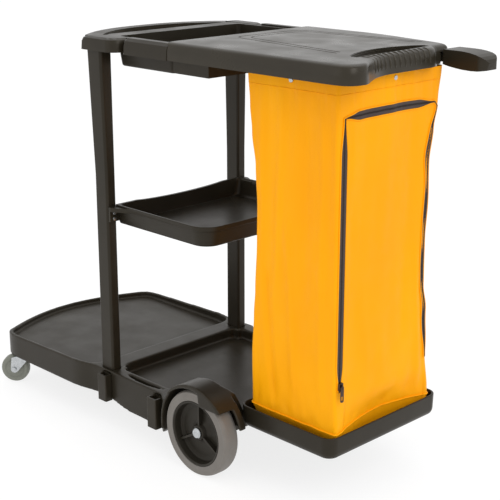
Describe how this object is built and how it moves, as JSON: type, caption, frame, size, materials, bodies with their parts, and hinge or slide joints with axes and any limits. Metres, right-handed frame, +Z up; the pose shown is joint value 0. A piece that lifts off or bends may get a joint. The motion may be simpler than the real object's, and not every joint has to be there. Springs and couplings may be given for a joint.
{
  "type": "cleaning caddy",
  "caption": "Janitor's cleaning cart: moulded deck on wheels and swivel casters, uprights, shelf, top tray, push handle, hinged lid over a zipped waste bag.",
  "frame": {"origin": "centre of the footprint, on the floor", "axes": "+X from the push handle to the bag, +Y to the side with the tool arm, +Z up"},
  "size_m": [1.3, 0.536, 0.975],
  "materials": {
    "frame_plastic": "fine-grained satin moulded polypropylene",
    "lid_plastic": "satin moulded polypropylene, smooth top",
    "hub_plastic": "moulded plastic",
    "tyre": "smooth non-marking rubber",
    "caster_wheel": "smooth non-marking rubber",
    "zinc": "bright zinc-plated steel",
    "bag_vinyl": "coated vinyl fabric, soft sheen",
    "zipper_tape": "woven tape with moulded teeth",
    "zipper_metal": "lacquered die-cast metal"
  },
  "bodies": {
    "cart": {"base_deck": "frame_plastic", "upright_near": "frame_plastic", "upright_far": "frame_plastic", "middle_shelf": "frame_plastic", "top_frame": "frame_plastic", "top_tray": "frame_plastic", "bag_platform": "frame_plastic", "tool_clip_near_1": "frame_plastic", "tool_clip_near_2": "frame_plastic", "tool_clip_far_1": "frame_plastic", "tool_clip_far_2": "frame_plastic", "lid_hinge_pin": "zinc", "bag_hoop": "zinc", "rear_axle": "zinc", "upright_bolt_near": "zinc", "upright_bolt_far": "zinc", "shelf_screw_near_1": "zinc", "shelf_screw_near_2": "zinc", "shelf_screw_far_1": "zinc", "shelf_screw_far_2": "zinc", "hoop_bolt_front_near": "zinc", "hoop_bolt_front_far": "zinc", "hoop_bolt_rear_near": "zinc", "hoop_bolt_rear_far": "zinc", "platform_screw_1": "zinc", "platform_screw_2": "zinc", "platform_screw_3": "zinc", "platform_screw_4": "zinc", "bag_rivet_end": "zinc", "bag_rivet_inner": "zinc", "bag_rivet_near": "zinc", "bag_rivet_far": "zinc", "axle_washer_near": "zinc", "axle_washer_far": "zinc", "axle_cap_near": "zinc", "axle_cap_far": "zinc", "caster_plate_near": "zinc", "caster_plate_far": "zinc", "caster_race_near": "zinc", "caster_race_far": "zinc", "caster_kingpin_near": "zinc", "caster_kingpin_far": "zinc", "bag": "bag_vinyl", "zipper_tape": "zipper_tape"},
    "lid": {"lid": "lid_plastic"},
    "rear_wheel_near": {"rear_tyre_near": "tyre", "rear_hub_near": "hub_plastic"},
    "rear_wheel_far": {"rear_tyre_far": "tyre", "rear_hub_far": "hub_plastic"},
    "caster_fork_near": {"caster_fork_near": "zinc", "caster_axle_near": "zinc"},
    "caster_wheel_near": {"caster_wheel_near": "caster_wheel"},
    "caster_fork_far": {"caster_fork_far": "zinc", "caster_axle_far": "zinc"},
    "caster_wheel_far": {"caster_wheel_far": "caster_wheel"},
    "zipper_slider": {"zipper_slider": "zipper_metal"}
  },
  "joints": [
    {"name": "lid_hinge", "type": "hinge", "parent": "cart", "child": "lid", "pos_m": [0.084, 0, 0.9665], "axis": [0, -1, 0], "range_deg": [0, 105]},
    {"name": "rear_wheel_spin_near", "type": "hinge", "parent": "cart", "child": "rear_wheel_near", "pos_m": [0.199, -0.2395, 0.1016], "axis": [0, 1, 0], "continuous": true},
    {"name": "rear_wheel_spin_far", "type": "hinge", "parent": "cart", "child": "rear_wheel_far", "pos_m": [0.199, 0.2395, 0.1016], "axis": [0, 1, 0], "continuous": true},
    {"name": "caster_swivel_near", "type": "hinge", "parent": "cart", "child": "caster_fork_near", "pos_m": [-0.534, -0.213, 0.096], "axis": [0, 0, 1], "continuous": true},
    {"name": "caster_spin_near", "type": "hinge", "parent": "caster_fork_near", "child": "caster_wheel_near", "pos_m": [-0.56005, -0.23485, 0.038], "axis": [-0.6428, 0.766, 0], "continuous": true},
    {"name": "caster_swivel_far", "type": "hinge", "parent": "cart", "child": "caster_fork_far", "pos_m": [-0.534, 0.213, 0.096], "axis": [0, 0, 1], "continuous": true},
    {"name": "caster_spin_far", "type": "hinge", "parent": "caster_fork_far", "child": "caster_wheel_far", "pos_m": [-0.56005, 0.19115, 0.038], "axis": [-0.6428, 0.766, 0], "continuous": true},
    {"name": "zipper_slide", "type": "slide", "parent": "cart", "child": "zipper_slider", "axis": [0, 0, 1], "range_m": [0, 0.53]}
  ]
}
